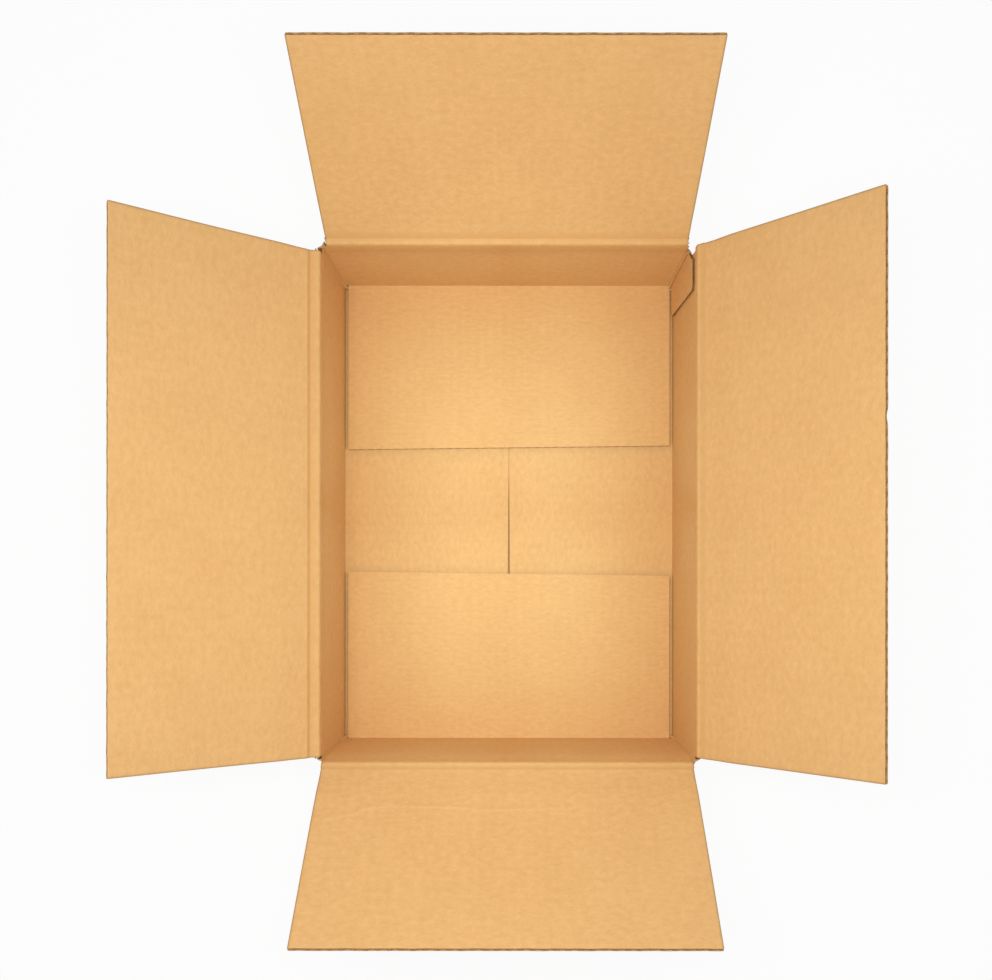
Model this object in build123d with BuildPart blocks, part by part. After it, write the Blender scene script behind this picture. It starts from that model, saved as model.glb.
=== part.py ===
from build123d import *
import math
import os

os.makedirs("parts", exist_ok=True)

# Open slotted box, folded from one sheet of single wall corrugated board.
# Origin at the middle of the underside, +Z up, +Y along the length of the box.
# The long walls stand left (-X) and right (+X), the short walls front (-Y) and back (+Y).

# Inside size of the closed box
inside_length = 384.0
inside_width = 279.0
inside_depth = 98.0

# Board: two flat liners with a fluted medium glued between them
board = 3.8
liner = 0.45
medium = 0.5
flute_pitch = 7.5
side_margin = 1.0

# Folds in the walls and the closed bottom
corner_radius = 4.2
inner_corner_radius = 0.8
bottom_fold_radius = 3.2
bottom_fold_inner_radius = 0.6
flute_end = 3.5
layer_gap = 0.3

# Top creases: the board is pressed to a thin web near its outer face, and the flap turns there
axis_depth = 0.5
web = 0.25
hinge_gap = 0.35
crease_angle = 35.0
outer_relief = 2.5

# Flaps: all four top flaps are cut to one depth, and two majors close edge to edge
centre_gap = 1.0
rear_major_slot = 8.5
front_major_slot = 5.4
rear_minor_slot = 6.5
front_minor_slot = 4.2
bottom_slot = 5.0

# Angle of each open flap above level, in degrees
left_open_angle = 35.2
right_open_angle = 48.2
back_open_angle = 55.1
front_open_angle = 46.5

# The slots run past the creases, which leaves a pinhole at each corner of the floor
bottom_slot_overrun = 1.4
top_slot_overrun = 0.3

# Glue tab, on the end of the back wall, fixed to the inside of the right wall
tab_width = 36.0
tab_end_gap = 1.2
tab_end_cut = 4.0
panel_setback = 6.9

# Cut at the folded root of the tab, deeper than the other slots and sloping up along the tab
joint_cut_depth = 18.4
joint_cut_run = 7.4

# Seam between the closed major flaps, which opens towards the front
seam_tight = 0.3
seam_open = 1.9
seam_kink_y = 35.0
seam_full_y = -52.0

# Tape that closes the bottom and laps up the short walls
tape = 0.15
tape_width = 60.0
tape_lap = 60.0
tape_slant = 5.6

# Worked out sizes
half_width = inside_width / 2
half_length = inside_length / 2
outer_x = half_width + board
outer_y = half_length + board
crease_x = half_width + board / 2
crease_y = half_length + board / 2

major_floor = 0.0
minor_floor = major_floor + board + layer_gap
floor_top = minor_floor + board
minor_axis_z = floor_top + inside_depth + board - axis_depth
major_axis_z = minor_axis_z + board + layer_gap
hinge_x = outer_x - axis_depth
hinge_y = outer_y - axis_depth
flap_depth = hinge_x - centre_gap / 2
bottom_reach = half_width
minor_reach = flap_depth - (board - axis_depth)

# The pressed face of the wall falls at crease_angle, and the flap root takes the rest of the right angle
pressed = board - axis_depth - web
wall_drop = pressed * math.tan(math.radians(crease_angle))
root_taper = pressed / math.tan(math.radians(crease_angle))
crease_end = hinge_gap + root_taper

# The four walls run round the corners between the slots
ring_bottom = floor_top + bottom_slot_overrun
ring_top = minor_axis_z - hinge_gap - wall_drop - top_slot_overrun
panel_overlap = 2.0

# Flute section: one slanting leg of the medium between the liners
flute_height = board - 2 * liner
leg_angle = math.atan2(flute_height, flute_pitch / 2)
leg_breadth = medium / math.sin(leg_angle)
void_base = flute_pitch - leg_breadth
void_height = void_base / 2 * math.tan(leg_angle)


def flute_voids(span, low, high):
    """Triangles between the medium and the two liners, side by side along the local X axis.

    low and high are the faces of the board in the local Y direction.
    """
    count = int((span - void_base - 2 * side_margin) // flute_pitch)
    with GridLocations(flute_pitch, 0, count, 1):
        Polygon(
            (-void_base / 2, low + liner),
            (void_base / 2, low + liner),
            (0, low + liner + void_height),
            align=None,
        )
    with GridLocations(flute_pitch, 0, count + 1, 1):
        Polygon(
            (-void_base / 2, high - liner),
            (0, high - liner - void_height),
            (void_base / 2, high - liner),
            align=None,
        )


def side_plane(side, middle):
    """Upright plane across a wall, at the middle of its span: local X points along +X or +Y, local Y up."""
    if side in ("left", "right"):
        return Plane.XZ.offset(-middle)
    return Plane.YZ.offset(middle)


def lower_profile(face, outward, floor_z, reach):
    """Bottom flap, its fold and the foot of the wall above it."""
    points = [
        (face - outward * reach, floor_z),
        (face + outward * board, floor_z),
        (face + outward * board, ring_bottom + panel_overlap),
        (face, ring_bottom + panel_overlap),
        (face, floor_z + board),
        (face - outward * reach, floor_z + board),
    ]
    Polygon(*points, align=None)
    fillet(vertices().sort_by_distance(points[1])[0], radius=bottom_fold_radius)
    fillet(vertices().sort_by_distance(points[4])[0], radius=bottom_fold_inner_radius)


def upper_profile(face, outward, axis_z):
    """Head of the wall, pressed down to the web on which its top flap turns."""
    outer = face + outward * board
    axis = outer - outward * axis_depth
    web_z = axis_z - hinge_gap
    Polygon(
        (face, ring_top - panel_overlap),
        (outer, ring_top - panel_overlap),
        (outer, axis_z - outer_relief),
        (axis, web_z),
        (axis - outward * web, web_z),
        (face, web_z - wall_drop),
        align=None,
    )


# Box body: four walls, glue tab and the four closed bottom flaps, all one folded sheet
with BuildPart() as box_body:
    with BuildSketch(Plane.XY.offset(ring_bottom)):
        Polygon(
            (-outer_x, -outer_y),
            (outer_x, -outer_y),
            (outer_x, outer_y - panel_setback),
            (half_width, outer_y - panel_setback),
            (half_width, outer_y),
            (-outer_x, outer_y),
            align=None,
        )
        for corner in ((-outer_x, -outer_y), (outer_x, -outer_y), (-outer_x, outer_y)):
            fillet(vertices().sort_by_distance(corner)[0], radius=corner_radius)
        with Locations((half_width - corner_radius / 2, outer_y - corner_radius / 2)):
            Rectangle(corner_radius, corner_radius, mode=Mode.SUBTRACT)
        with Locations((half_width - corner_radius, outer_y - corner_radius)):
            Circle(corner_radius)
        RectangleRounded(inside_width, inside_length, inner_corner_radius, mode=Mode.SUBTRACT)
    extrude(amount=ring_top - ring_bottom)

    # Bottom flaps: the short walls carry the minors, which lie on the majors of the long walls
    for side, outward in (("left", -1), ("right", 1)):
        with BuildSketch(side_plane(side, 0.0)):
            lower_profile(outward * half_width, outward, major_floor, bottom_reach)
        extrude(amount=crease_y - bottom_slot, both=True)
    for side, outward in (("front", -1), ("back", 1)):
        with BuildSketch(side_plane(side, 0.0)):
            lower_profile(outward * half_length, outward, minor_floor, minor_reach)
        extrude(amount=crease_x - bottom_slot, both=True)

    # Heads of the walls, as wide as the top flaps that hang on them
    for side, outward in (("left", -1), ("right", 1)):
        low_y = front_major_slot - crease_y
        high_y = crease_y - rear_major_slot
        with BuildSketch(side_plane(side, (low_y + high_y) / 2)):
            upper_profile(outward * half_width, outward, major_axis_z)
        extrude(amount=(high_y - low_y) / 2, both=True)
    for side, outward, slot in (("front", -1, front_minor_slot), ("back", 1, rear_minor_slot)):
        with BuildSketch(side_plane(side, 0.0)):
            upper_profile(outward * half_length, outward, minor_axis_z)
        extrude(amount=crease_x - slot, both=True)

    # Glue tab, its free edge cut back at both ends
    tab_low = floor_top + tab_end_gap
    tab_high = floor_top + inside_depth - tab_end_gap
    with BuildSketch(Plane.YZ.offset(half_width - board)):
        Polygon(
            (half_length, tab_low),
            (half_length, tab_high),
            (half_length - tab_width + tab_end_cut, tab_high),
            (half_length - tab_width, tab_high - tab_end_cut),
            (half_length - tab_width, tab_low + tab_end_cut),
            (half_length - tab_width + tab_end_cut, tab_low),
            align=None,
        )
    extrude(amount=board)
    with BuildSketch(Plane.XY.offset(tab_low)):
        with Locations(Location((half_width - board / 2, half_length - tab_width / 2), 90)):
            flute_voids(tab_width - 2 * tab_end_cut, -board / 2, board / 2)
    extrude(amount=tab_high - tab_low, mode=Mode.SUBTRACT)

    # Slot at the glue joint: it takes the corner of the fold and slants up to the top of the tab
    joint_cut_y = outer_y - corner_radius
    with BuildSketch(Plane.YZ.offset(half_width - corner_radius)):
        Polygon(
            (outer_y, ring_top - joint_cut_depth),
            (joint_cut_y, ring_top - joint_cut_depth),
            (joint_cut_y - joint_cut_run, tab_high),
            (joint_cut_y - joint_cut_run, ring_top),
            (outer_y, ring_top),
            align=None,
        )
    extrude(amount=corner_radius, mode=Mode.SUBTRACT)

    # Flutes of the closed flaps, square to their folds, open at the free edges inside the box
    major_channel = half_width - flute_end
    with BuildSketch(Plane.YZ.offset(-major_channel)):
        flute_voids(2 * (crease_y - bottom_slot), major_floor, major_floor + board)
    extrude(amount=2 * major_channel, mode=Mode.SUBTRACT)
    minor_channel = half_length - flute_end
    with BuildSketch(Plane.XZ.offset(-minor_channel)):
        flute_voids(2 * (crease_x - bottom_slot), minor_floor, minor_floor + board)
    extrude(amount=2 * minor_channel, mode=Mode.SUBTRACT)

    # Seam of the major flaps
    with BuildSketch(Plane.XY.offset(major_floor)):
        Polygon(
            (-seam_tight / 2, crease_y),
            (seam_tight / 2, crease_y),
            (seam_tight / 2, seam_kink_y),
            (seam_open / 2, seam_full_y),
            (seam_open / 2, -crease_y),
            (-seam_open / 2, -crease_y),
            (-seam_open / 2, seam_full_y),
            (-seam_tight / 2, seam_kink_y),
            align=None,
        )
    extrude(amount=board, mode=Mode.SUBTRACT)

    # Seat of the tape, which presses the outer liner in by its own thickness
    with BuildSketch(Plane.XY.offset(major_floor)):
        Rectangle(tape_width, 2 * outer_y)
    extrude(amount=tape, mode=Mode.SUBTRACT)
box_body.part.label = "box_body"
export_step(box_body.part, "parts/box_body.step")


# Bottom tape: along the seam, slanting past the fold of each short wall and up its outside
with BuildPart() as bottom_tape:
    bend_y = outer_y - tape_slant + tape
    with BuildSketch(Plane.YZ):
        Polygon(
            (-outer_y - tape, tape_lap),
            (-outer_y - tape, tape_slant),
            (-bend_y, 0),
            (bend_y, 0),
            (outer_y + tape, tape_slant),
            (outer_y + tape, tape_lap),
            (outer_y, tape_lap),
            (outer_y, tape_slant),
            (bend_y - tape, tape),
            (tape - bend_y, tape),
            (-outer_y, tape_slant),
            (-outer_y, tape_lap),
            align=None,
        )
    extrude(amount=tape_width / 2, both=True)
bottom_tape.part.label = "bottom_tape"
export_step(bottom_tape.part, "parts/bottom_tape.step")


def top_flap(hinge, outward, open_angle, span):
    """One open top flap: pressed root, full board and open flutes along its free edge.

    hinge is the middle of the crease, outward the level direction away from the box.
    """
    level = Vector(*outward)
    along = level * math.cos(math.radians(open_angle)) + Vector(0, 0, math.sin(math.radians(open_angle)))
    crease = level.cross(Vector(0, 0, 1))
    root = Vector(*hinge)
    inner_face = board - axis_depth
    with BuildPart() as flap:
        with BuildSketch(Plane(origin=root, x_dir=along, z_dir=crease)):
            Polygon(
                (hinge_gap, 0),
                (outer_relief, -axis_depth),
                (flap_depth, -axis_depth),
                (flap_depth, inner_face),
                (crease_end, inner_face),
                (hinge_gap, web),
                align=None,
            )
        extrude(amount=span / 2, both=True)
        free_edge = root + along * flap_depth
        with BuildSketch(Plane(origin=free_edge, x_dir=crease, z_dir=along * -1)):
            flute_voids(span, -axis_depth, inner_face)
        extrude(amount=flap_depth - crease_end, mode=Mode.SUBTRACT)
    return flap


major_span = 2 * crease_y - front_major_slot - rear_major_slot
major_y = (front_major_slot - rear_major_slot) / 2

flap_left = top_flap((-hinge_x, major_y, major_axis_z), (-1, 0, 0), left_open_angle, major_span)
flap_left.part.label = "flap_left"
export_step(flap_left.part, "parts/flap_left.step")

flap_right = top_flap((hinge_x, major_y, major_axis_z), (1, 0, 0), right_open_angle, major_span)
flap_right.part.label = "flap_right"
export_step(flap_right.part, "parts/flap_right.step")

back_span = 2 * (crease_x - rear_minor_slot)
flap_back = top_flap((0, hinge_y, minor_axis_z), (0, 1, 0), back_open_angle, back_span)
flap_back.part.label = "flap_back"
export_step(flap_back.part, "parts/flap_back.step")

front_span = 2 * (crease_x - front_minor_slot)
flap_front = top_flap((0, -hinge_y, minor_axis_z), (0, -1, 0), front_open_angle, front_span)
flap_front.part.label = "flap_front"
export_step(flap_front.part, "parts/flap_front.step")
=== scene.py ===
# %% [markdown]
# # Open cardboard box
# The object is a shallow shipping box of brown corrugated board, seen from straight above with its
# four top flaps open. The CAD model is the frame: it fixes every size and the four hinges. This
# lesson dresses it. Board is two flat papers, the liners, with a wavy paper, the medium, glued
# between them, so every wall and flap here is built from those three papers and not from blocks.

# %% Load the frame
import math

import bmesh
import bpy
import numpy as np
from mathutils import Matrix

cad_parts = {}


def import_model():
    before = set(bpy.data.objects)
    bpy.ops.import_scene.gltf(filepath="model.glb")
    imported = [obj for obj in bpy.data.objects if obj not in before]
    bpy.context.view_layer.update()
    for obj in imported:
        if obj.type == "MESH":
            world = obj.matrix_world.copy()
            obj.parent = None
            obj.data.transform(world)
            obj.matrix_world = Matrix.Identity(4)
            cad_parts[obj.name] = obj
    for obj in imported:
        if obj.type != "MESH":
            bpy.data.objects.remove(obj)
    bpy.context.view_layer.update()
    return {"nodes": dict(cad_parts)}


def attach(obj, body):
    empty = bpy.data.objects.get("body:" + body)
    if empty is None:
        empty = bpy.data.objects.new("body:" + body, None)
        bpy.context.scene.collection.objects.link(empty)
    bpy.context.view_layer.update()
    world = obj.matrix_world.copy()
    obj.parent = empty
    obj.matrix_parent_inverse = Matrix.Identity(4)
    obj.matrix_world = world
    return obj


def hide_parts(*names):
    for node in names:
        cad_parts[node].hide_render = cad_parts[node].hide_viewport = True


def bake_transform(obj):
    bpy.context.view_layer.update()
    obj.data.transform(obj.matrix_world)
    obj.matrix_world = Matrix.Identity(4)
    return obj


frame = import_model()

# %% [markdown]
# The sheet is worked out in millimetres, as on a box maker's drawing, and only the finished
# points are turned into metres. These are the sizes of the CAD model. Each side of the box has its
# own numbers: the direction it faces, where its inner face stands, how far its floor flap lies
# above the table, the height of its hinge and how steeply its open flap rises.

# %% Sizes of the box
MM = 0.001
BOARD = 3.8
LINER = 0.35
MEDIUM = 0.28
FLUTE = 7.5
AXIS_DEPTH = 0.5
INNER_FACE = BOARD - AXIS_DEPTH
HALF_WIDTH = 139.5
HALF_LENGTH = 192.0
INSIDE_DEPTH = 98.0
LAYER_GAP = 0.3
MINOR_FLOOR = BOARD + LAYER_GAP
MINOR_AXIS = MINOR_FLOOR + BOARD + INSIDE_DEPTH + INNER_FACE
MAJOR_AXIS = MINOR_AXIS + BOARD + LAYER_GAP
RING_BOTTOM = 9.3
RING_TOP = 106.41
FLAP_DEPTH = 142.3
FLAP_ROOT = 6.0

SIDES = {
    "left": dict(out=(-1, 0), face=HALF_WIDTH, floor=0.0, axis=MAJOR_AXIS, rise=35.2),
    "right": dict(out=(1, 0), face=HALF_WIDTH, floor=0.0, axis=MAJOR_AXIS, rise=48.2),
    "back": dict(out=(0, 1), face=HALF_LENGTH, floor=MINOR_FLOOR, axis=MINOR_AXIS, rise=55.1),
    "front": dict(out=(0, -1), face=HALF_LENGTH, floor=MINOR_FLOOR, axis=MINOR_AXIS, rise=46.5),
}
SIDES["left"].update(flap=(-188.5, 185.4), floor_flap=190.4, wall=(-190.5, 190.5), shift=0.0)
SIDES["right"].update(flap=(-188.5, 185.4), floor_flap=190.4, wall=(-190.5, 188.9), shift=2.0)
SIDES["back"].update(flap=(-134.9, 134.9), floor_flap=136.4, wall=(-138.0, 135.0), shift=4.0)
SIDES["front"].update(flap=(-137.2, 137.2), floor_flap=136.4, wall=(-138.0, 138.0), shift=6.0)
for name, side in SIDES.items():
    side["angle"] = math.radians(side["rise"])
    side["hinge"] = side["face"] + INNER_FACE
print("sides", {name: round(side["hinge"], 1) for name, side in SIDES.items()})


# %% [markdown]
# A point of a side is given by u, its place along the crease, o, its distance out from the middle
# of the box, and z, its height. Points on an open flap are easier to give on the flap itself: v
# runs from the hinge to the free edge and w is the height above the hinge line, square to the
# board. Two small functions turn both into the same world points, so a paper can run from the
# wall on to the flap without a break.

# %% Places on a side
def place(side, u, o, z):
    """World points, in metres, of places on a side of the box."""
    ox, oy = side["out"]
    along_x, along_y = (0, 1) if ox else (1, 0)
    u, o, z = np.broadcast_arrays(u, o, z)
    points = np.stack([along_x * u + ox * o, along_y * u + oy * o, z], axis=-1)
    return points * MM


def on_flap(side, v, w):
    """Distance out and height of a place on the open flap of a side."""
    rise, v, w = side["angle"], np.asarray(v, float), np.asarray(w, float)
    o = side["hinge"] + v * math.cos(rise) - w * math.sin(rise)
    z = side["axis"] + v * math.sin(rise) + w * math.cos(rise)
    return o, z


def smooth(t):
    """0 before 0, 1 after 1, and an even turn between them."""
    t = np.clip(t, 0.0, 1.0)
    return t * t * (3 - 2 * t)


edge_out, edge_height = on_flap(SIDES["left"], FLAP_DEPTH, 0)
print("free edge of the left flap, mm", round(float(edge_out), 1), round(float(edge_height), 1))


# %% [markdown]
# Every paper is a thin closed slab: a grid of points for its upper face, one for its lower face
# and four narrow strips round the edges. The edges are raw cut paper, darker and rougher than the
# face, so they get a material of their own. A Papers object collects slabs, together with the
# place of each point on the flat sheet. The finishes read that place, so grain and flutes follow
# the board round every fold, as they do on a real box.

# %% Collecting papers
FACE, EDGE, INSIDE = 0, 1, 2
SHARP_ANGLE = math.radians(50)


class Papers:
    """Slabs of paper that become one mesh."""

    def __init__(self):
        self.points, self.sheet, self.crush, self.rim = [], [], [], []
        self.faces, self.kinds, self.count = [], [], 0

    def slab(self, upper, lower, sheet, kind=FACE, crush=0.0, rim=0.0, edge=EDGE):
        """Adds a paper between two grids of points, each rows by columns by 3."""
        rows, columns = upper.shape[:2]
        start, size = self.count, rows * columns
        self.points += [upper.reshape(-1, 3), lower.reshape(-1, 3)]
        self.sheet += [sheet.reshape(-1, 3), sheet.reshape(-1, 3)]
        for values, kept in ((crush, self.crush), (rim, self.rim)):
            kept += [np.broadcast_to(values, (rows, columns)).ravel()] * 2
        grid = np.arange(size).reshape(rows, columns) + start
        corner = [grid[:-1, :-1], grid[:-1, 1:], grid[1:, 1:], grid[1:, :-1]]
        top = np.stack([c.ravel() for c in corner], axis=1)
        self.faces += [top, top[:, ::-1] + size]
        self.kinds += [np.full(2 * len(top), kind)]
        for line in (grid[0], grid[:, -1], grid[-1, ::-1], grid[::-1, 0]):
            strip = np.stack([line[1:], line[:-1], line[:-1] + size, line[1:] + size], axis=1)
            self.faces.append(strip)
            self.kinds.append(np.full(len(strip), edge))
        self.count += 2 * size

    def object(self, name, finishes):
        """Makes the mesh object, with one material for each kind of face."""
        mesh = bpy.data.meshes.new(name)
        points = np.concatenate(self.points)
        faces = np.concatenate(self.faces)
        mesh.from_pydata(points.tolist(), [], faces.tolist())
        kinds = np.concatenate(self.kinds).astype(np.int32)
        mesh.polygons.foreach_set("material_index", kinds)
        mesh.polygons.foreach_set("use_smooth", kinds != EDGE)
        for label, kind, values in (
            ("sheet", "FLOAT_VECTOR", np.concatenate(self.sheet)),
            ("crush", "FLOAT", np.concatenate(self.crush)),
            ("rim", "FLOAT", np.concatenate(self.rim)),
        ):
            layer = mesh.attributes.new(label, kind, "POINT")
            key = "vector" if kind == "FLOAT_VECTOR" else "value"
            layer.data.foreach_set(key, values.astype(np.float32).ravel())
        for finish in finishes:
            mesh.materials.append(finish)
        work = bmesh.new()
        work.from_mesh(mesh)
        bmesh.ops.remove_doubles(work, verts=work.verts, dist=1e-7)
        bmesh.ops.recalc_face_normals(work, faces=work.faces)
        work.to_mesh(mesh)
        work.free()
        mesh.set_sharp_from_angle(angle=SHARP_ANGLE)
        made = bpy.data.objects.new(name, mesh)
        bpy.context.scene.collection.objects.link(made)
        print(name, "triangles", sum(len(p.vertices) - 2 for p in mesh.polygons))
        return made


# %% [markdown]
# One call lays down a whole piece of board. It takes the inner and the outer face of the board as
# functions of the place along the crease and the row, and puts the three papers between them. The
# medium is a sine wave that fills what room the liners leave. Where a crease presses the board
# thin, the wave flattens by itself, which is just what the creasing wheel does.

# %% Laying down a piece of board
WORN_WIDTH = 1.3
WORN_COLUMNS = np.array([0.4, 0.9, 1.6])


def board(
    papers, side, inner, outer, limits, rows, run,
    columns=48, crush=0.0, waves=12, wave_rows=None, rim=0.0,
):
    """Adds two liners and the medium.

    inner and outer give (o, z) for arrays u and row, and limits gives the lowest and highest u for
    each row. run is each row's place along the flutes of the flat sheet, in mm. waves is the
    number of points in one flute, wave_rows picks the rows of the medium, and rim says how worn
    the paper is at its two cut ends.
    """
    lowest, highest = np.min(limits(rows[:, None])[0]), np.max(limits(rows[:, None])[1])
    close = WORN_COLUMNS / (highest - lowest)
    share = np.unique(np.concatenate([np.linspace(0.0, 1.0, columns), close, 1 - close]))[None, :]

    def grids(share, rows, run):
        low, high = limits(rows[:, None])
        u = low + (high - low) * share
        row = np.broadcast_to(rows[:, None], u.shape)
        io, iz = inner(u, row)
        oo, oz = outer(u, row)
        thick = np.hypot(oo - io, oz - iz)
        sheet = np.stack([u, np.broadcast_to(run[:, None], u.shape), 0.0 * u], axis=-1) * MM
        sheet[..., 0] += side["shift"]

        def layer(part):
            return place(side, u, io + (oo - io) * part, iz + (oz - iz) * part)

        return u, thick, sheet, layer

    u, thick, sheet, layer = grids(share, rows, run)
    pressed = crush(u, np.broadcast_to(rows[:, None], u.shape)) if callable(crush) else crush
    low, high = limits(rows[:, None])
    worn = rim * smooth(1.0 - np.minimum(u - low, high - u) / WORN_WIDTH)
    papers.slab(layer(0.0), layer(LINER / thick), sheet, FACE, pressed, worn)
    sheet = sheet + (0.0, 0.5, 0.0)
    papers.slab(layer(1.0 - LINER / thick), layer(1.0), sheet, FACE, pressed, worn)

    steps = int((highest - lowest) / FLUTE * waves)
    fine = np.linspace(0.0, 1.0, steps)[None, :]
    if wave_rows is not None:
        rows, run = rows[wave_rows], run[wave_rows]
    u, thick, sheet, layer = grids(fine, rows, run)
    height = np.maximum((thick - 2 * LINER - MEDIUM) / 2, 0.0)
    turn = 2 * math.pi * u / FLUTE
    slope = height * np.cos(turn) * 2 * math.pi / FLUTE
    half = np.minimum(MEDIUM * np.sqrt(1 + slope**2), np.maximum(thick - 2 * LINER, 0.05)) / 2
    middle = 0.5 * thick + height * np.sin(turn)
    papers.slab(layer((middle - half) / thick), layer((middle + half) / thick), sheet, INSIDE, 0.0)


def arc(centre, radius, first, last, count=7):
    """Points of an arc, angles in degrees."""
    turn = np.radians(np.linspace(first, last, count))
    return [(centre[0] + radius * math.cos(t), centre[1] + radius * math.sin(t)) for t in turn]


def along(points):
    """Functions of a row number that follow a list of (o, z) points, and the length up to each."""
    points = np.array(points, float)
    number = np.arange(len(points))
    length = np.concatenate([[0.0], np.cumsum(np.hypot(*np.diff(points, axis=0).T))])
    return (
        lambda row: np.interp(row, number, points[:, 0]),
        lambda row: np.interp(row, number, points[:, 1]),
        length,
    )


# %% [markdown]
# Now the finishes. Kraft liner is made of long brown fibres that lie mostly along the machine's
# direction, across the flutes. From a step away that reads as a warm tan with short faint streaks,
# cloudy patches and a few specks. Close up the flutes show through as a soft washboard. All of it
# is noise in the sheet's own measure, so it has the right scale on every panel. Raw edges are a
# greyer, darker brown, and the medium inside is a duller paper.

# %% Node helpers
def new_finish(name, rough=0.86):
    """A material with a principled shader, its node tree and a helper that adds a node."""
    finish = bpy.data.materials.new(name)
    finish.use_nodes = True
    tree = finish.node_tree
    shader = tree.nodes["Principled BSDF"]
    shader.inputs["Roughness"].default_value = rough
    shader.inputs["Specular IOR Level"].default_value = 0.22

    def add(kind, settings=(), **sockets):
        node = tree.nodes.new(kind)
        for key, value in dict(settings).items():
            setattr(node, key, value)
        for key, value in sockets.items():
            numbered = key[0] == "i" and key[1:].isdigit()
            socket = node.inputs[int(key[1:]) if numbered else key]
            if isinstance(value, bpy.types.NodeSocket):
                tree.links.new(value, socket)
            else:
                socket.default_value = value
        return node

    return finish, tree, shader, add


def colour(red, green, blue):
    """A screen colour, 0 to 255, as the linear colour that a shader takes."""
    parts = [c / 255 for c in (red, green, blue)]
    return (*[p / 12.92 if p <= 0.04045 else ((p + 0.055) / 1.055) ** 2.4 for p in parts], 1.0)


def stretched_noise(add, where, scale, detail=3.0, rough=0.55, offset=(0, 0, 0)):
    """Noise stretched by a scale for each direction, in waves per metre."""
    moved = add("ShaderNodeMapping", {}, Vector=where, Location=offset, Scale=scale)
    noise = add(
        "ShaderNodeTexNoise", {}, Vector=moved.outputs[0], Scale=1.0, Detail=detail, Roughness=rough
    )
    return noise.outputs["Fac"]


def ranged(add, value, low, high, to_low=0.0, to_high=1.0):
    """Spreads low..high over to_low..to_high."""
    node = add(
        "ShaderNodeMapRange",
        {"clamp": True},
        Value=value,
        **{"From Min": low, "From Max": high, "To Min": to_low, "To Max": to_high},
    )
    return node.outputs["Result"]


def mixed(add, share, first, second, blend="MIX"):
    """Mixes two colours."""
    node = add("ShaderNodeMix", {"data_type": "RGBA", "blend_type": blend}, i0=share)
    for index, value in ((6, first), (7, second)):
        if isinstance(value, bpy.types.NodeSocket):
            node.id_data.links.new(value, node.inputs[index])
        else:
            node.inputs[index].default_value = value
    return node.outputs[2]


def sums(add, operation, first, second):
    """One sum on two numbers."""
    return add("ShaderNodeMath", {"operation": operation}, i0=first, i1=second).outputs[0]


print("a pale kraft, as a shader takes it", [round(part, 3) for part in colour(220, 175, 115)])

# %% [markdown]
# The kraft face carries the photo's colours: a mid tan, with a darker and a lighter one in the
# clouds and fibres. A crease is pressed a little darker, and the cut ends of a panel are worn. On
# the corner folds the same two darker tones are also painted shade of the corner crease.

# %% The kraft face
KRAFT = colour(220, 175, 115)
KRAFT_DARK = colour(202, 153, 93)
KRAFT_LIGHT = colour(234, 189, 130)
KRAFT_PRESSED_AND_SHADE = colour(214, 165, 103)
KRAFT_WORN_AND_SHADE = colour(140, 108, 72)
KRAFT_SPECK = colour(176, 122, 66)


def kraft_face():
    """The smooth outside paper of the board."""
    finish, tree, shader, add = new_finish("kraft_face")
    where = add("ShaderNodeAttribute", {"attribute_name": "sheet"}).outputs["Vector"]
    crush = add("ShaderNodeAttribute", {"attribute_name": "crush"}).outputs["Fac"]
    rim = add("ShaderNodeAttribute", {"attribute_name": "rim"}).outputs["Fac"]
    clouds = stretched_noise(add, where, (28, 22, 1), 4.0, 0.6)
    blotch = stretched_noise(add, where, (160, 260, 1), 4.0, 0.62, (3, 1, 0))
    fibres = stretched_noise(add, where, (420, 1500, 1), 3.0, 0.6, (7, 2, 0))
    specks = stretched_noise(add, where, (900, 1500, 1), 2.0, 0.5, (11, 5, 0))
    tone = mixed(add, ranged(add, clouds, 0.35, 0.68), KRAFT_DARK, KRAFT_LIGHT)
    tone = mixed(add, 0.88, tone, KRAFT)
    tone = mixed(add, ranged(add, blotch, 0.36, 0.5, 0.26, 0.0), tone, KRAFT_DARK)
    tone = mixed(add, ranged(add, blotch, 0.52, 0.66, 0.0, 0.30), tone, KRAFT_LIGHT)
    tone = mixed(add, ranged(add, fibres, 0.30, 0.48, 0.34, 0.0), tone, KRAFT_DARK)
    tone = mixed(add, ranged(add, fibres, 0.55, 0.72, 0.0, 0.34), tone, KRAFT_LIGHT)
    tone = mixed(add, ranged(add, specks, 0.24, 0.30, 0.45, 0.0), tone, KRAFT_SPECK)
    across = add("ShaderNodeSeparateXYZ", {}, Vector=where).outputs[0]
    wave = sums(add, "SINE", sums(add, "MULTIPLY", across, 2 * math.pi / (FLUTE * MM)), 0.0)
    tone = mixed(add, ranged(add, wave, -1.0, 1.0, 0.055, 0.0), tone, KRAFT_DARK)
    # Pressed creases and worn cut ends are darker; on the corner folds these two tones are painted
    # shade as well.
    tone = mixed(add, ranged(add, crush, 0.0, 1.0, 0.0, 0.6), tone, KRAFT_PRESSED_AND_SHADE)
    tone = mixed(add, rim, tone, KRAFT_WORN_AND_SHADE)
    tree.links.new(tone, shader.inputs["Base Color"])
    rough = ranged(add, fibres, 0.3, 0.7, 0.80, 0.94)
    tree.links.new(rough, shader.inputs["Roughness"])
    height = sums(add, "MULTIPLY", wave, 0.30)
    height = sums(add, "ADD", height, sums(add, "MULTIPLY", fibres, 0.55))
    height = sums(add, "ADD", height, sums(add, "MULTIPLY", blotch, 0.45))
    bump = add("ShaderNodeBump", {}, Strength=0.42, Distance=0.00012, Height=height)
    tree.links.new(bump.outputs[0], shader.inputs["Normal"])
    return finish


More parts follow.
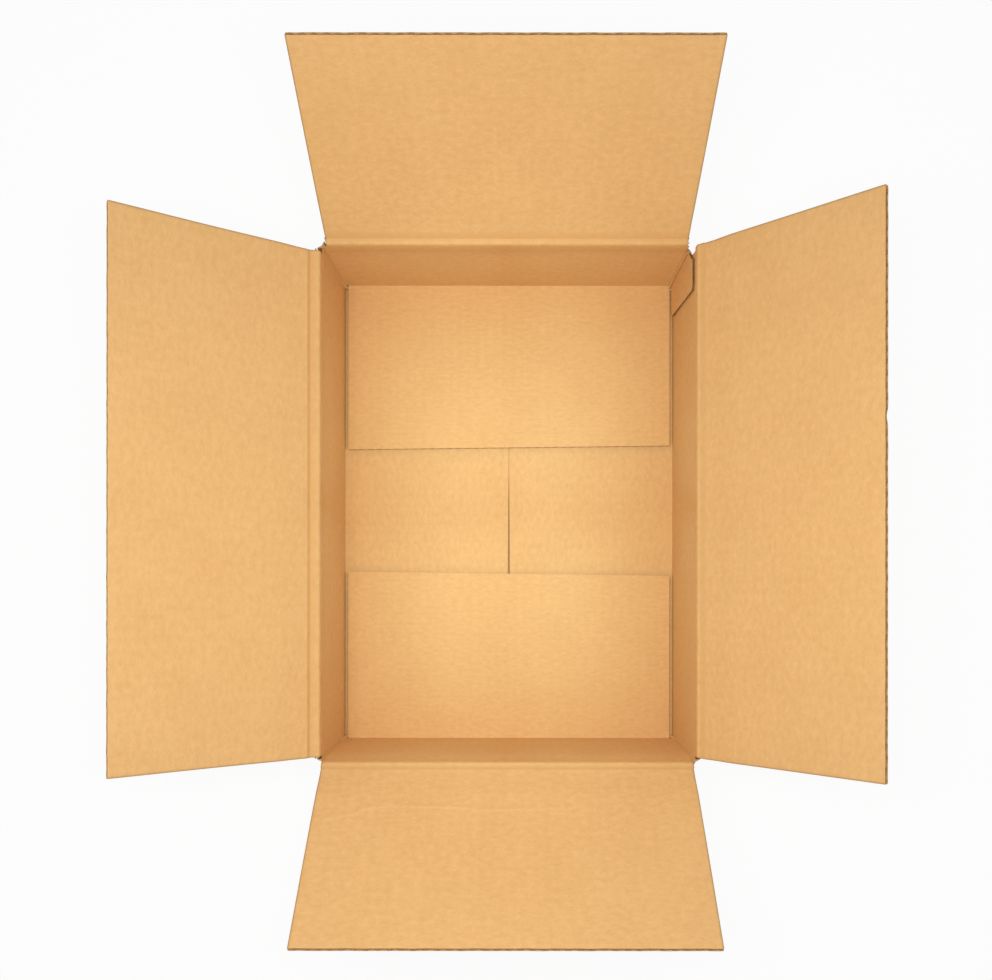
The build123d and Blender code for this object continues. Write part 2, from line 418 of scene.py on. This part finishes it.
def raw_edge():
    """Cut paper: greyer, darker and furry."""
    finish, tree, shader, add = new_finish("raw_edge", 0.95)
    where = add("ShaderNodeTexCoord", {}).outputs["Object"]
    fur = stretched_noise(add, where, (1400, 1400, 2600), 3.0, 0.65)
    tone = mixed(add, ranged(add, fur, 0.34, 0.66), colour(118, 90, 58), colour(168, 132, 90))
    tree.links.new(tone, shader.inputs["Base Color"])
    bump = add("ShaderNodeBump", {}, Strength=0.5, Distance=0.0001, Height=fur)
    tree.links.new(bump.outputs[0], shader.inputs["Normal"])
    return finish


def medium_paper():
    """The wavy paper inside: a duller recycled brown."""
    finish, tree, shader, add = new_finish("medium_paper", 0.93)
    where = add("ShaderNodeAttribute", {"attribute_name": "sheet"}).outputs["Vector"]
    grain = stretched_noise(add, where, (900, 1600, 1), 3.0, 0.6)
    tone = mixed(add, ranged(add, grain, 0.34, 0.66), colour(168, 120, 72), colour(205, 157, 102))
    tree.links.new(tone, shader.inputs["Base Color"])
    bump = add("ShaderNodeBump", {}, Strength=0.4, Distance=0.0001, Height=grain)
    tree.links.new(bump.outputs[0], shader.inputs["Normal"])
    return finish


FINISHES = [kraft_face(), raw_edge(), medium_paper()]
print("finishes", [f.name for f in FINISHES])


# %% [markdown]
# The body of the box is one sheet: for each side a floor flap, a fold, and a wall. The floor flaps
# of the long walls lie on the table and meet at a seam that gapes towards the front. Those of the
# short walls lie on top of them, a little out of square, as in the photo. The wall is laid down
# with the same call, from the bottom slot to the top slot.

# %% Floor flaps and walls
SEAM_TIGHT, SEAM_OPEN = 0.3, 1.9
SEAM_KINK, SEAM_FULL = 35.0, -52.0
MINOR_EDGE = {"back": (54.7, 1.7), "front": (52.4, 1.7)}
FLAP_HALF = 136.0
FOLD_IN, FOLD_OUT = 0.9, 3.2
FOLD_WAVE_ROWS = np.array([0, 1, 5, 7, 9, 11, 12])
WALL_WAVE_ROWS = np.array([0, 3, 5, 7, 9, 11])
papers = Papers()


def floor_flap(papers, name):
    """One closed bottom flap with its fold and the foot of its wall."""
    side = SIDES[name]
    face, low = side["face"], side["floor"]
    fold_in = arc((face - FOLD_IN, low + BOARD + FOLD_IN), FOLD_IN, -90, 0)
    fold_out = arc((face + BOARD - FOLD_OUT, low + FOLD_OUT), FOLD_OUT, -90, 0)
    inner_o, inner_z, length = along([(0, low + BOARD), *fold_in, (face, RING_BOTTOM)])
    outer_o, outer_z, _ = along([(0, low), *fold_out, (face + BOARD, RING_BOTTOM)])

    def free_edge(u):
        if name in MINOR_EDGE:
            middle, skew = MINOR_EDGE[name]
            return middle + skew * u / FLAP_HALF
        gape = np.clip((SEAM_KINK - u) / (SEAM_KINK - SEAM_FULL), 0, 1)
        return (SEAM_TIGHT + (SEAM_OPEN - SEAM_TIGHT) * gape) / 2

    def shift(u, row, o):
        return np.where(row < 1, free_edge(u) + (o(1.0) - free_edge(u)) * np.clip(row, 0, 1), o(row))

    rows = np.concatenate([[0.0, 0.01, 0.3, 0.6, 0.9], np.arange(1, 9)])
    run = np.interp(rows, np.arange(9), length)
    board(
        papers,
        side,
        lambda u, row: (shift(u, row, inner_o), inner_z(row)),
        lambda u, row: (shift(u, row, outer_o), outer_z(row)),
        lambda row: (-side["floor_flap"] + 0 * row, side["floor_flap"] + 0 * row),
        rows,
        run,
        columns=60,
        wave_rows=FOLD_WAVE_ROWS,
    )
    return length[-1]


SIDES["left"].update(bulge=1.6, bead=1.0, valley=(2.0, 2.2), sink=0.9, ends=("front", "back"))
SIDES["right"].update(bulge=0.0, bead=0.2, valley=(0.3, 2.9), sink=1.5, ends=("front", "back"))
SIDES["back"].update(bulge=2.6, bead=0.3, valley=(-1.9, 1.0), sink=0.6, ends=("left", "right"))
SIDES["front"].update(bulge=-1.4, bead=0.2, valley=(1.6, 3.0), sink=1.9, ends=("left", "right"))


LEAN_START, LEAN_RUN = 27.0, 24.0


def rim_lean(side, z):
    """How far the inner paper has come into the box near the top crease."""
    return side["bulge"] * smooth((np.asarray(z) - side["axis"] + LEAN_START) / LEAN_RUN)


def wall_limits(side):
    """Ends of a wall at each height: they keep to the walls next to it."""
    (low, high), (first, last) = side["wall"], side["ends"]
    return lambda z: (low + rim_lean(SIDES[first], z), high - rim_lean(SIDES[last], z))


for name, side in SIDES.items():
    start = floor_flap(papers, name)
    near_rim = [84.0, 87.0, 90.0, 93.0, 96.0, 99.0, 102.0, 104.5]
    rows = np.array([RING_BOTTOM, 40.0, 70.0, *near_rim, RING_TOP])
    board(
        papers,
        side,
        lambda u, z: (side["face"] - rim_lean(side, z), z),
        lambda u, z: (side["face"] + BOARD + 0 * u, z),
        wall_limits(side),
        rows,
        start + rows - RING_BOTTOM,
        columns=80,
        waves=9,
        wave_rows=WALL_WAVE_ROWS,
    )
    side["wall_run"] = start + RING_TOP - RING_BOTTOM
print("length of paper up each wall, mm", {n: round(float(s["wall_run"]), 1) for n, s in SIDES.items()})

# %% [markdown]
# Between two walls the sheet turns a corner on a crushed crease. The three papers are pressed into
# one there, so the fold is a single slab: tight inside, wide outside, and flattened most near the
# rim, where the slot between two flaps ends. Its foot closes inwards, because the four closed
# floor flaps would otherwise leave a pinhole in each corner that lets light through. Its whole
# liner is made darker: partly the pressed crease's own tone, partly painted shade of the crease line.

# %% Corner folds
CORNER_CENTRE = (138.0, 190.5)
CORNER_RADIUS = 1.5
FOOT_DROP = 3.0
FOOT_IN = (2.4, 1.6)


def corner_fold(papers, sign_x, sign_y, low, high, at=CORNER_CENTRE, crush=0.4):
    """The crushed board round one corner of the box; its liner carries painted shade of the crease."""
    turn = np.linspace(0.0, math.pi / 2, 12)[None, :]
    near_rim = np.linspace(82.0, high, 8)
    z = np.array([low - FOOT_DROP, low - 1.2, low, 30.0, 60.0, *near_rim])[:, None]
    lean_x = rim_lean(SIDES["right" if sign_x > 0 else "left"], z)
    lean_y = rim_lean(SIDES["back" if sign_y > 0 else "front"], z)

    def ring(radius, is_outer):
        if is_outer:
            closing = 0.0
            bite = 0.08 + crush * smooth((z - 90.0) / 14.0)
            bend = radius * (1 - bite * np.sin(2 * turn) ** 0.8)
        else:
            closing = smooth((low - z) / FOOT_DROP)
            bend = radius * (1 - 0.3 * closing)
        x = at[0] - lean_x - FOOT_IN[0] * closing + bend * np.cos(turn)
        y = at[1] - lean_y - FOOT_IN[1] * closing + bend * np.sin(turn)
        return np.stack([sign_x * x, sign_y * y, z + 0 * turn], axis=-1) * MM

    sheet = np.stack([turn * 3 + 0 * z, z + 0 * turn, 0 * z + 0 * turn], axis=-1) * MM + (9.0, 0, 0)
    inner, outer = ring(CORNER_RADIUS, False), ring(CORNER_RADIUS + BOARD, True)
    # The whole liner gets the pressed tone and some of the worn tone: painted shade of the crease line
    # on top of its pressed colour.
    papers.slab(inner, outer, sheet, FACE, crush=0.9, rim=0.2, edge=INSIDE)


for sign_x, sign_y in ((-1, -1), (1, -1), (-1, 1)):
    corner_fold(papers, sign_x, sign_y, RING_BOTTOM, RING_TOP)
print("corner folds", 3, "points so far", papers.count)

# %% [markdown]
# At the back right corner the sheet's two ends are glued together. The back wall turns the corner
# as a tab that lies inside the right wall. Its flutes stand upright, so its top edge shows them as
# a zigzag line, and its free edge leans a little, as in the photo. The cut at this corner is
# deeper than at the other three, which leaves a bright notch beside the tab.

# %% Glue tab
TAB_LOW, TAB_HIGH = 9.1, 104.7
TAB_IN, TAB_OUT = 137.5, 139.48
TAB_ROOT, TAB_REACH, TAB_LEAN = 191.0, 158.0, 7.0
JOINT_TOP, JOINT_DEEP = 88.0, 7.5
JOINT_CENTRE = (135.1, 190.5)
tab_side = dict(out=(1, 0), shift=8.0)


def tab_edge(z):
    """Free edge of the tab: it leans, and its two ends are cut back."""
    lean = TAB_REACH + TAB_LEAN * (TAB_HIGH - z) / (TAB_HIGH - TAB_LOW)
    return lean + np.maximum(0.0, z - TAB_HIGH + 3.0) + np.maximum(0.0, TAB_LOW + 4.0 - z)


def tab_root(z):
    """Where the tab meets the fold: the top is notched at the corner."""
    return TAB_ROOT - JOINT_DEEP * smooth((z - JOINT_TOP) / 16.0) - rim_lean(SIDES["back"], z)


rows = np.array([TAB_LOW, 10.5, 13.1, 40.0, 70.0, 86.0, 89.0, 92.0, 95.0, 98.0, 101.7, 103.0, TAB_HIGH])
board(
    papers,
    tab_side,
    lambda u, z: (TAB_IN + 0 * u, z),
    lambda u, z: (TAB_OUT + 0 * u, z),
    lambda z: (tab_edge(z), tab_root(z)),
    rows,
    rows,
    columns=24,
)
corner_fold(papers, 1, 1, RING_BOTTOM, JOINT_TOP, at=JOINT_CENTRE, crush=0.1)
folded_sheet = papers.object("folded_sheet", FINISHES)
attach(folded_sheet, "box")
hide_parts("box_body")

# %% [markdown]
# The top creases are where the box moves. The creasing wheel presses the board thin from the
# inside, so from above each crease is a nearly level bright band with a dark line where the flap
# rises out of it. A strip of board covers it from the wall's rim to the foot of the flap. Strip and
# flap must end at the same places, so the flaps' ends come first: they are cut a little out of
# true, and SKEW gives for the low and the high end how far its root and its tip are off, in mm.

# %% Ends of the flaps
SKEW = {
    "left": ((-0.8, 0.2), (-2.6, 0.2)),
    "right": ((-1.4, 1.9), (2.4, 0.4)),
    "back": ((0.0, -1.0), (-1.2, 1.0)),
    "front": ((0.0, 0.0), (0.0, 0.0)),
}


def flap_limits(name):
    """Ends of a flap at each row, from its root to its free edge."""
    (low, high), (at_low, at_high) = SIDES[name]["flap"], SKEW[name]
    return lambda row: (
        low + at_low[0] + (at_low[1] - at_low[0]) * row,
        high + at_high[0] + (at_high[1] - at_high[0]) * row,
    )


print("low end of the left flap, root and tip, mm", [flap_limits("left")(row)[0] for row in (0.0, 1.0)])

# %% [markdown]
# Across a crease the inner paper runs up the wall, rolls over the rim, drops into the pressed
# valley and rises on to the flap. The outer paper takes the short way round the hinge. The numbers
# of each side say how its own crease was pressed, because no two in the photo are alike.

# %% Crease strips
RIM_BEND = -2.95


def crease_strip(name):
    """The pressed board between a wall and its top flap."""
    side = SIDES[name]
    hinge, axis, face = side["hinge"], side["axis"], side["face"]
    bead, foot = side["bead"], RING_TOP - side["axis"]

    def rel(o, z):
        return (hinge + o, axis + z)

    def flap(v, w):
        o, z = on_flap(side, v, w)
        return (float(o), float(z))

    turn_o, turn_z = side["turn"]
    valley = np.array(rel(*side["valley"]))
    start, end = np.array(rel(turn_o, turn_z)), np.array(flap(FLAP_ROOT, INNER_FACE - side["sink"]))
    inner_points = [
        rel(-INNER_FACE, foot),
        rel(-INNER_FACE, foot + 0.3 * (RIM_BEND - foot)),
        rel(-INNER_FACE, foot + 0.7 * (RIM_BEND - foot)),
        rel(-INNER_FACE, RIM_BEND),
        rel(-INNER_FACE + 0.15 * (turn_o + INNER_FACE), RIM_BEND + 0.5 * (turn_z - RIM_BEND)),
        rel(-INNER_FACE + 0.45 * (turn_o + INNER_FACE), RIM_BEND + 0.83 * (turn_z - RIM_BEND)),
        start,
        start + 0.33 * (valley - start),
        start + 0.67 * (valley - start),
        valley,
        valley + 0.10 * (end - valley) + (0.12 * bead, 0.0),
        valley + 0.32 * (end - valley) + (0.10 * bead, 0.0),
        valley + 0.60 * (end - valley),
        valley + 0.85 * (end - valley),
        end,
    ]
    outer_points = [
        rel(AXIS_DEPTH, foot),
        rel(AXIS_DEPTH, foot + 0.3 * (RIM_BEND - foot)),
        rel(AXIS_DEPTH, foot + 0.7 * (RIM_BEND - foot)),
        rel(AXIS_DEPTH, RIM_BEND),
        rel(0.5 + 0.1 * bead, -2.7),
        rel(0.55 + 0.25 * bead, -2.4),
        rel(0.6 + 0.5 * bead, -2.1),
        rel(0.7 + 0.8 * bead, -1.75),
        rel(0.8 + 1.1 * bead, -1.3),
        rel(1.0 + 1.2 * bead, -0.7),
        flap(1.7, -0.72 - 0.6 * bead),
        flap(2.6, -0.6 - 0.3 * bead),
        flap(3.6, -0.52 - 0.1 * bead),
        flap(4.7, -0.5),
        flap(FLAP_ROOT, -0.5),
    ]
    inner_o, inner_z, length = along(inner_points)
    outer_o, outer_z, _ = along(outer_points)
    low, high = (float(end) for end in flap_limits(name)(0.0))
    wide = side["crease_ends"]
    rng = np.random.default_rng(len(name))
    waves = [(rng.uniform(0.05, 0.5), rng.uniform(0, 6.3), rng.uniform(0.3, 1.0)) for _ in range(7)]

    def wrinkle(u, row):
        wave = sum(size * np.sin(pitch * u + start) for pitch, start, size in waves) / 4
        return 0.16 * wave * smooth(row / 5) * smooth((14 - row) / 5)

    def inner(u, row):
        o, z = inner_o(row), inner_z(row)
        share = np.clip((valley[0] - o) / (valley[0] - hinge + INNER_FACE), 0, 1)
        lip = rim_lean(side, np.minimum(z, axis + RIM_BEND)) * np.where(row < 9, share, 0)
        return o - lip, z + wrinkle(u, row)

    def outer(u, row):
        return outer_o(row) + 0.5 * wrinkle(u + 40, row), outer_z(row)

    rows = np.unique(np.concatenate([np.arange(15), np.arange(3, 13) + 0.5])).astype(float)
    strip = Papers()
    board(
        strip,
        side,
        inner,
        outer,
        lambda row: (
            low - wide[0] * (1 - smooth((row - 9) / 4)),
            high + wide[1] * (1 - smooth((row - 9) / 4)),
        ),
        rows,
        side["wall_run"] + np.interp(rows, np.arange(15), length),
        columns=120,
        crush=lambda u, row: smooth((row - 6) / 3) * smooth((14 - row) / 3),
        waves=7,
        rim=0.6,
    )
    made = strip.object("crease_" + name, FINISHES)
    ox, oy = side["out"]

    def world(o, z):
        return (ox * (hinge + o) * MM, oy * (hinge + o) * MM, (axis + z) * MM)

    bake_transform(made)
    side["flap_run"] = side["wall_run"] + length[-1]
    return made


SIDES["left"].update(crease_ends=(0.0, 0.6), turn=(-2.5, 0.8))
SIDES["right"].update(crease_ends=(0.0, 0.6), turn=(-1.6, 0.6))
SIDES["back"].update(crease_ends=(0.0, 0.0), turn=(-2.9, 0.3))
SIDES["front"].update(crease_ends=(0.6, 0.6), turn=(-0.3, 1.6))
for name in SIDES:
    crease_strip(name)

# %% [markdown]
# The four flaps are the largest pieces in view. A real flap is never dead flat: each one bows a
# little. The photo shows marks on three of them, and they are shapes, not paint: a long wrinkle
# pressed across the front flap, a faint fold across the left one and a dent in the right one's
# free edge. The free edge stays open, so the flutes show there.

# %% Flap shapes and marks
WRINKLE = [
    (-134, 52.5), (-121, 47.6), (-105, 44.3), (-99, 39.8),
    (-83, 38.0), (-32, 39.7), (-19, 41.8), (56, 39.4),
]
FAINT_FOLD_AT = -79.5
BOW = {"left": -1.2, "right": -0.3, "back": 0.4, "front": 0.5}
DENT_AT, DENT_DEEP = 42.0, 0.5
SINK_RUN = 26.0


def flap_shape(name, u, v, outer_side):
    """Height added to a flap's face at places (u, v)."""
    t = np.clip((v - FLAP_ROOT) / (FLAP_DEPTH - FLAP_ROOT), 0, 1)
    low, high = SIDES[name]["flap"]
    middle, half = (low + high) / 2, (high - low) / 2
    crown = 1 - 0.35 * ((u - middle) / half) ** 2
    height = BOW[name] * (1 - np.cos(2 * math.pi * t)) / 2 * crown
    if name == "front":
        line = np.interp(u, [p[0] for p in WRINKLE], [p[1] for p in WRINKLE])
        fade = smooth((u + 140) / 20) * smooth((70 - u) / 60)
        away = v - line
        fold = 0.38 * smooth((away + 5.0) / 5.0) * smooth((1.3 - away) / 1.3)
        height = height + fold * fade * (0.35 if outer_side else 1.0)
    if name == "left":
        away = u - FAINT_FOLD_AT
        fade = smooth((v - 28) / 25) * smooth((141 - v) / 20)
        fold = 0.17 * np.exp(-((away / 1.3) ** 2)) - 0.10 * np.exp(-(((away + 3.2) / 1.8) ** 2))
        height = height + fold * fade * (0.35 if outer_side else 1.0)
    return height


def flap_edge(name, u):
    """Free edge of a flap: cut straight, with fine unevenness and the right flap's dent."""
    edge = FLAP_DEPTH - 0.12 + 0.10 * np.sin(u * 0.31 + 1) * np.sin(u * 0.083)
    if name == "right":
        edge = edge - DENT_DEEP * smooth(1 - np.abs(u - DENT_AT) / 6.0)
    return edge


print("dent in the right flap's edge, mm", round(float(flap_edge("right", DENT_AT)) - FLAP_DEPTH, 2))

# %% [markdown]
# A flap is one piece of board that rides on its own body. Towards its free edge and its two ends
# the liners pinch together a little, as a blunt knife leaves them. The front flap has closer rows
# where the wrinkle runs, and its medium follows them, so that it doesn't show through the liner.

# %% Flaps
def flap_board(name):
    """One open top flap, from the crease strip to its free edge."""
    side = SIDES[name]
    low, high = side["flap"]
    rows = np.concatenate([np.linspace(0, 0.94, 54), [0.96, 0.975, 0.985, 0.993, 1.0]])
    wave_rows = np.r_[0:8, 9:54:6, 54:59]
    if name == "front":
        rows = np.unique(np.concatenate([rows, np.linspace(0.225, 0.36, 31)]))
        wave_rows = np.r_[0:8, 8 : len(rows) - 6 : 2, len(rows) - 6 : len(rows)]

    def pinch(u, row):
        first, last = flap_limits(name)(row)
        near_end = smooth((u - first) / 2.2) * smooth((last - u) / 2.2)
        near_edge = smooth((1 - row) / 0.022)
        started = smooth(row / 0.05)
        return 0.36 * (1 - near_end) * started + 0.22 * (1 - near_edge)

    def face(u, row, level, outer_side):
        v = FLAP_ROOT + (flap_edge(name, u) - FLAP_ROOT) * row
        squeeze = pinch(u, row)
        if name == "right":
            near_dent = smooth(1 - np.abs(u - DENT_AT) / 7.0)
            squeeze = squeeze + 0.7 * near_dent * smooth((row - 0.955) / 0.045)
        w = level + flap_shape(name, u, v, outer_side) + (squeeze if outer_side else -squeeze)
        if not outer_side:
            w = w - side["sink"] * (1 - smooth((v - FLAP_ROOT) / SINK_RUN))
        return on_flap(side, v, w)

    sheet = Papers()
    board(
        sheet,
        side,
        lambda u, row: face(u, row, INNER_FACE, False),
        lambda u, row: face(u, row, -AXIS_DEPTH, True),
        flap_limits(name),
        rows,
        side["flap_run"] + (FLAP_DEPTH - FLAP_ROOT) * rows,
        columns={"left": 230, "front": 110}.get(name, 170),
        waves=9 if name == "front" else 12,
        wave_rows=wave_rows,
        rim=0.75,
    )
    made = sheet.object("flap_board_" + name, FINISHES)
    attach(made, name + "_flap")
    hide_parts("flap_" + name)
    return made


flaps = {name: flap_board(name) for name in SIDES}

# %% [markdown]
# Nothing inside the box holds its bottom shut, so a strip of brown paper tape runs along the seam
# underneath and up both short walls. The CAD strip has the right shape and stays. Paper tape has a
# fine crepe across its length and a slight shine from its glue side's backing.

# %% Paper tape
def tape_finish():
    """Brown paper tape with fine cross creases."""
    finish, tree, shader, add = new_finish("paper_tape", 0.5)
    where = add("ShaderNodeTexCoord", {}).outputs["Object"]
    crepe = stretched_noise(add, where, (240, 1900, 1900), 4.0, 0.6)
    clouds = stretched_noise(add, where, (40, 12, 12), 3.0, 0.5)
    tone = mixed(add, ranged(add, crepe, 0.35, 0.65), colour(176, 124, 72), colour(196, 144, 88))
    tone = mixed(add, ranged(add, clouds, 0.3, 0.7, 0.0, 0.4), tone, colour(186, 132, 76))
    tree.links.new(tone, shader.inputs["Base Color"])
    tree.links.new(ranged(add, crepe, 0.3, 0.7, 0.42, 0.60), shader.inputs["Roughness"])
    bump = add("ShaderNodeBump", {}, Strength=0.5, Distance=0.0001, Height=crepe)
    tree.links.new(bump.outputs[0], shader.inputs["Normal"])
    return finish


tape = frame["nodes"]["bottom_tape"]
tape.data.materials.clear()
tape.data.materials.append(tape_finish())
print("tape", tape.name)

# %% [markdown]
# The photo is a cut out product picture on a white ground. The floor is a matt white sheet. Seen by
# the camera most of it is plain white, and the rest keeps the box's soft shadow.

# %% Floor
FLOOR_HALF = 6.0
FLOOR_WHITE = 0.92
corners = [(-FLOOR_HALF, -FLOOR_HALF, 0), (FLOOR_HALF, -FLOOR_HALF, 0)]
corners += [(FLOOR_HALF, FLOOR_HALF, 0), (-FLOOR_HALF, FLOOR_HALF, 0)]
floor_mesh = bpy.data.meshes.new("floor")
floor_mesh.from_pydata(corners, [], [(0, 1, 2, 3)])
floor = bpy.data.objects.new("floor", floor_mesh)
bpy.context.scene.collection.objects.link(floor)
floor.location.z = -0.0002
floor_finish, floor_tree, floor_shader, floor_add = new_finish("floor_white", 0.9)
paper_grain = floor_add("ShaderNodeTexNoise", {}, Scale=40.0).outputs["Fac"]
floor_tone = mixed(floor_add, paper_grain, (0.93, 0.93, 0.93, 1), (0.96, 0.96, 0.96, 1))
floor_tree.links.new(floor_tone, floor_shader.inputs["Base Color"])
floor_rays = floor_add("ShaderNodeLightPath").outputs
floor_seen = sums(floor_add, "MAXIMUM", floor_rays["Is Camera Ray"], floor_rays["Is Glossy Ray"])
floor_seen = sums(floor_add, "MAXIMUM", floor_seen, floor_rays["Is Transmission Ray"])
white = floor_add("ShaderNodeEmission", {}, Color=(1, 1, 1, 1), Strength=1.0)
shown = floor_add("ShaderNodeMixShader", {}, i0=sums(floor_add, "MULTIPLY", floor_seen, FLOOR_WHITE))
floor_tree.links.new(floor_shader.outputs[0], shown.inputs[1])
floor_tree.links.new(white.outputs[0], shown.inputs[2])
floor_tree.links.new(shown.outputs[0], floor_tree.nodes["Material Output"].inputs["Surface"])
floor_mesh.materials.append(floor_finish)
print("floor", floor.name)

# %% [markdown]
# The light is soft and comes from overhead: one panel just under the camera's height, so level
# board is brightest and steep board darker. Two helpers stand for the light that a bright studio
# sends into the box from all round: faint upright panels that face the walls, and soft edged beams
# that reach the closed bottom. Their bluish tone takes out the red that board throws on board.

# %% Lamps
PANEL_AT, PANEL_SIZE, PANEL_POWER = (-0.03, -0.04, 0.72), (0.36, 0.12), 2.6
FILL_AT, FILL_POWER, FILL_TONE = (0, 0, 0.088), 0.024, (0.52, 1.08, 1.32)
SIDE_FILL, END_FILL = (0.30, 0.03), (0.20, 0.03)
BEAM_X, BEAM_HEIGHT, BEAM_HALF_ANGLE = -0.003, 0.85, 10.5
BEAM_TONE, BEAM_SOFT = (0.86, 1.0, 1.04), 0.03
BEAMS = [(0.125, 4.4), (0.04, 3.0), (-0.04, 3.0), (-0.125, 4.4)]


def panel_lamp(name, at, size, power, tone=(1, 1, 1)):
    """A soft panel that shines straight down."""
    lamp = bpy.data.lights.new(name, "AREA")
    lamp.shape, lamp.size, lamp.size_y = "RECTANGLE", *size
    lamp.energy, lamp.color = power, tone
    made = bpy.data.objects.new(name, lamp)
    made.location = at
    made.visible_camera = False
    bpy.context.scene.collection.objects.link(made)
    return made


def wall_fill(name, turn, size):
    """A faint upright panel inside the box that faces one wall."""
    made = panel_lamp(name, FILL_AT, size, FILL_POWER, FILL_TONE)
    made.rotation_euler = turn
    return made


def floor_beam(name, along_y, power):
    """A soft edged beam that reaches the closed bottom between the walls."""
    lamp = bpy.data.lights.new(name, "SPOT")
    lamp.energy, lamp.color, lamp.shadow_soft_size = power, BEAM_TONE, BEAM_SOFT
    lamp.spot_size, lamp.spot_blend = math.radians(2 * BEAM_HALF_ANGLE), 1.0
    made = bpy.data.objects.new(name, lamp)
    made.location = (BEAM_X, along_y, BEAM_HEIGHT)
    made.visible_camera = False
    bpy.context.scene.collection.objects.link(made)
    return made


panel_lamp("overhead_panel", PANEL_AT, PANEL_SIZE, PANEL_POWER)
quarter = math.pi / 2
for sign in (-1, 1):
    wall_fill(f"side_fill_{sign}", (quarter, 0, sign * quarter), SIDE_FILL)
    wall_fill(f"end_fill_{sign}", (quarter, 0, quarter + sign * quarter), END_FILL)
for number, (along_y, power) in enumerate(BEAMS):
    floor_beam(f"floor_beam_{number}", along_y, power)
print("lamps", len(bpy.data.lights))

# %% [markdown]
# The world lights the box evenly at about half strength. Only rays straight from the camera, and
# those that a glossy or clear surface passes on, see it as plain white.

# %% World
WORLD_LIGHT = 0.52
world = bpy.data.worlds.new("studio")
bpy.context.scene.world = world
world.use_nodes = True
nodes, links = world.node_tree.nodes, world.node_tree.links
sky = nodes["Background"]
sky.inputs["Color"].default_value = (1, 1, 1, 1)
sky.inputs["Strength"].default_value = WORLD_LIGHT
plain = nodes.new("ShaderNodeBackground")
plain.inputs["Color"].default_value = (1, 1, 1, 1)
plain.inputs["Strength"].default_value = 1.0
rays = nodes.new("ShaderNodeLightPath")
seen = nodes.new("ShaderNodeMath")
seen.operation = "MAXIMUM"
links.new(rays.outputs["Is Camera Ray"], seen.inputs[0])
links.new(rays.outputs["Is Glossy Ray"], seen.inputs[1])
through = nodes.new("ShaderNodeMath")
through.operation = "MAXIMUM"
links.new(seen.outputs[0], through.inputs[0])
links.new(rays.outputs["Is Transmission Ray"], through.inputs[1])
either = nodes.new("ShaderNodeMixShader")
links.new(through.outputs[0], either.inputs[0])
links.new(sky.outputs[0], either.inputs[1])
links.new(plain.outputs[0], either.inputs[2])
links.new(either.outputs[0], nodes["World Output"].inputs["Surface"])
bpy.context.scene.view_settings.view_transform = "Standard"
print("world", world.name)

# %% [markdown]
# The camera was fitted to the photo's corners, creases and flap edges: it looks straight down from
# 0.8 m, and the picture was cropped off centre, which a lens shift repeats.

# %% Camera
PHOTO = (992, 980)
FOCAL_PIXELS = 928.0
CENTRE_PIXEL = (516.94, 588.82)
SENSOR_WIDTH = 36.0
camera_data = bpy.data.cameras.new("camera")
camera_data.sensor_fit = "HORIZONTAL"
camera_data.sensor_width = SENSOR_WIDTH
camera_data.lens = FOCAL_PIXELS * SENSOR_WIDTH / PHOTO[0]
camera_data.shift_x = (PHOTO[0] / 2 - CENTRE_PIXEL[0]) / PHOTO[0]
camera_data.shift_y = (CENTRE_PIXEL[1] - PHOTO[1] / 2) / PHOTO[0]
camera_data.clip_start = 0.01
camera = bpy.data.objects.new("camera", camera_data)
camera.location = (0.00694, -0.06533, 0.79638)
camera.rotation_euler = (0, 0, math.radians(0.042))
bpy.context.scene.collection.objects.link(camera)
bpy.context.scene.camera = camera
print("lens", round(camera_data.lens, 2), "mm")
